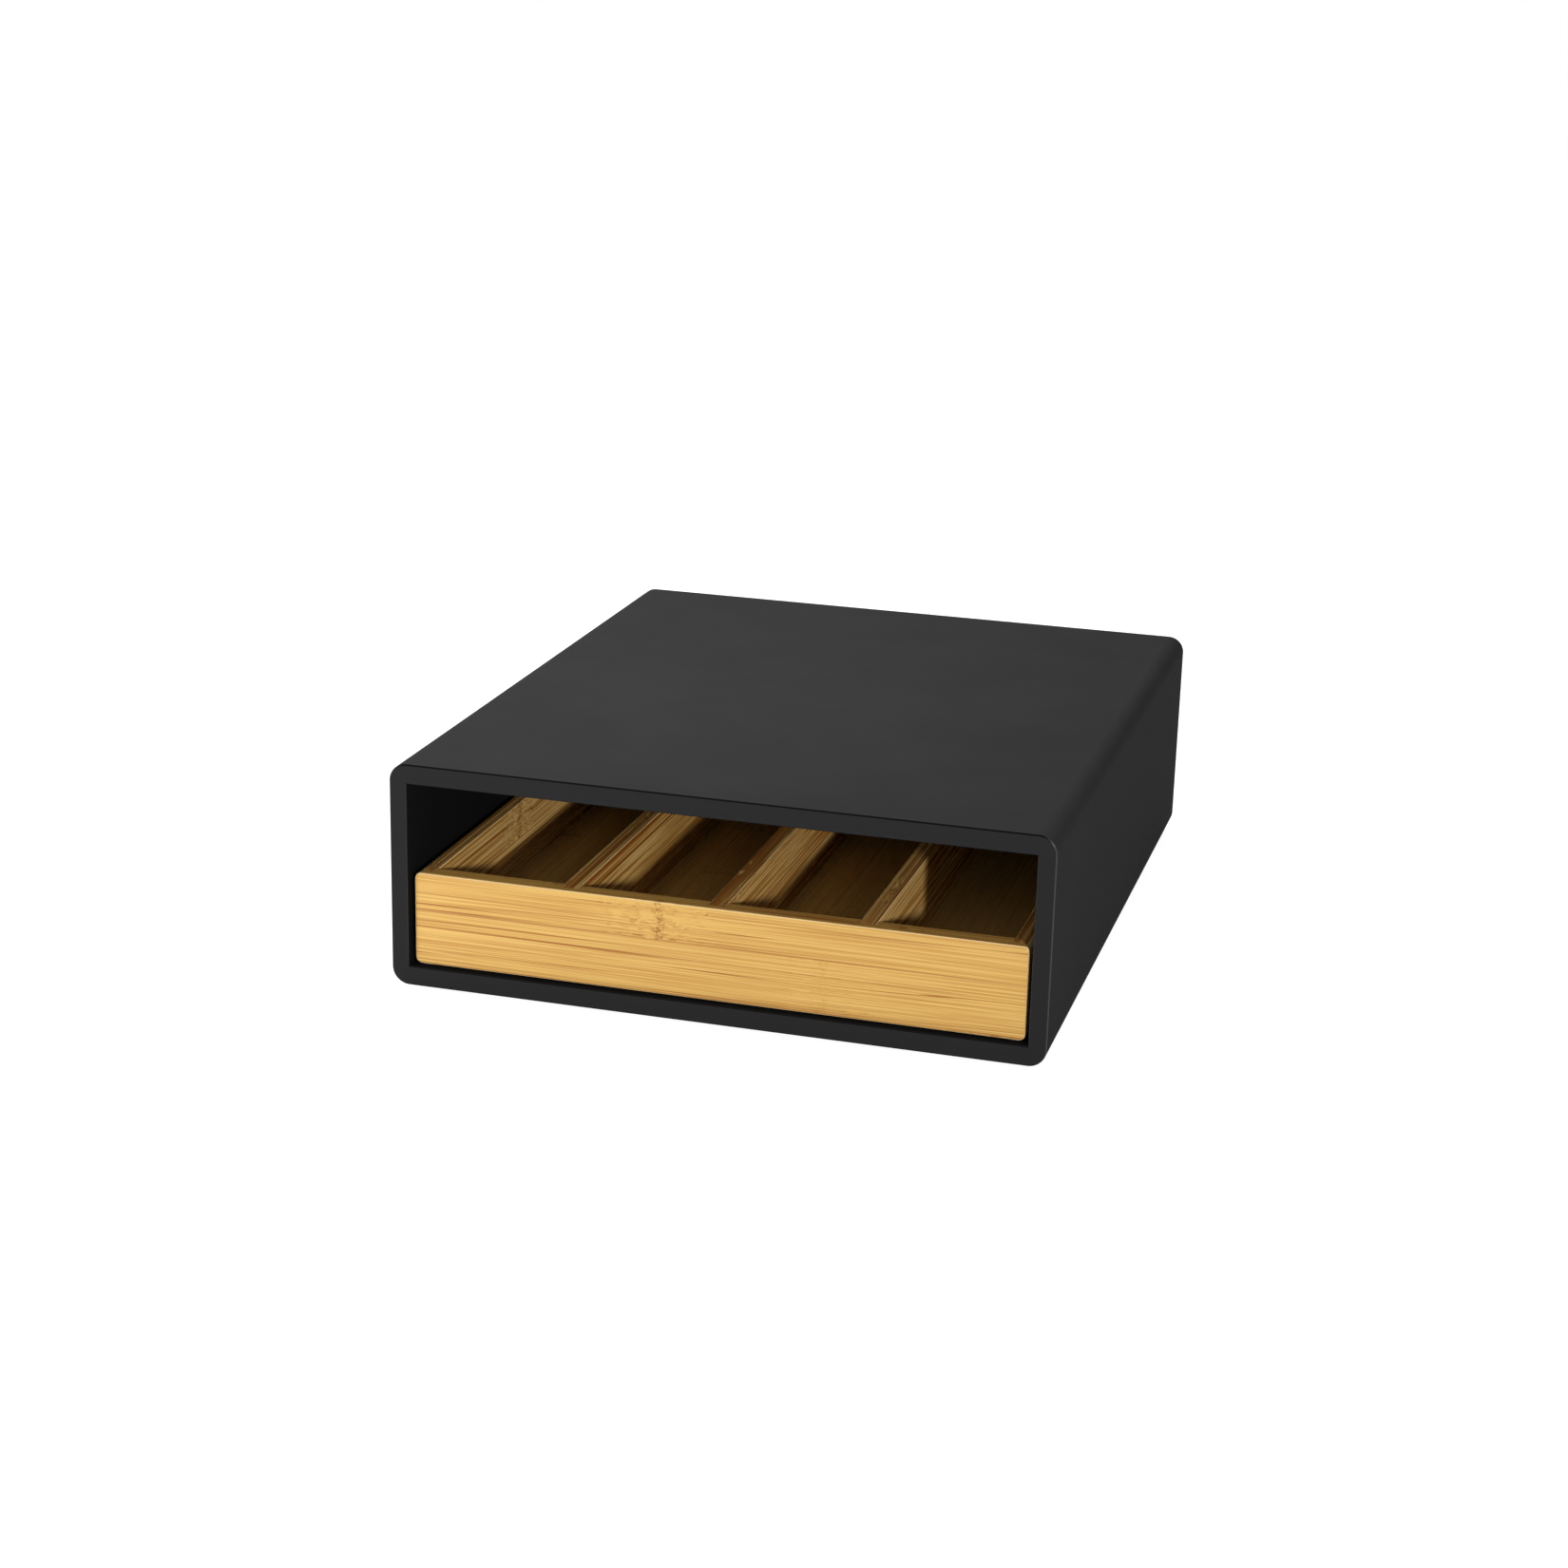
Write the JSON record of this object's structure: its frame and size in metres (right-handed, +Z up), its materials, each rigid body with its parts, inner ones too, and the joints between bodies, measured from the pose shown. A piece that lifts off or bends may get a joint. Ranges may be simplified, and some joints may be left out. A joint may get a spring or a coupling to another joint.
{
  "type": "coffee capsule drawer",
  "caption": "Low black lacquered box, open at the front, with a bamboo drawer divided into long compartments that slides out.",
  "frame": {"origin": "under the middle of the box, on the surface that its feet stand on", "axes": "+X to the right as seen from the front, +Y from the drawer's front to the closed back, +Z up"},
  "size_m": [0.3, 0.35, 0.106],
  "materials": {
    "black_lacquered_board": "satin black lacquer on fibreboard",
    "beech_dowel": "plain",
    "foot_pad": "matte",
    "bamboo": "clear matte lacquer on glued bamboo strips",
    "bamboo_pin": "cut flush and sanded",
    "felt_glide": "pressed felt"
  },
  "bodies": {
    "housing": {"top_panel": "black_lacquered_board", "bottom_panel": "black_lacquered_board", "left_side_panel": "black_lacquered_board", "right_side_panel": "black_lacquered_board", "back_panel": "black_lacquered_board", "dowels_top_left": "beech_dowel", "dowels_top_right": "beech_dowel", "dowels_bottom_left": "beech_dowel", "dowels_bottom_right": "beech_dowel", "foot_front_left": "foot_pad", "foot_front_right": "foot_pad", "foot_back_left": "foot_pad", "foot_back_right": "foot_pad"},
    "drawer": {"drawer_front": "bamboo", "drawer_back": "bamboo", "drawer_left_side": "bamboo", "drawer_right_side": "bamboo", "drawer_bottom": "bamboo", "divider_1": "bamboo", "divider_2": "bamboo", "divider_3": "bamboo", "corner_pins_front_left": "bamboo_pin", "corner_pins_front_right": "bamboo_pin", "corner_pins_back_left": "bamboo_pin", "corner_pins_back_right": "bamboo_pin", "glide_left": "felt_glide", "glide_right": "felt_glide"}
  },
  "joints": [
    {"name": "drawer_slide", "type": "slide", "parent": "housing", "child": "drawer", "axis": [0, -1, 0], "range_m": [0, 0.3]}
  ]
}
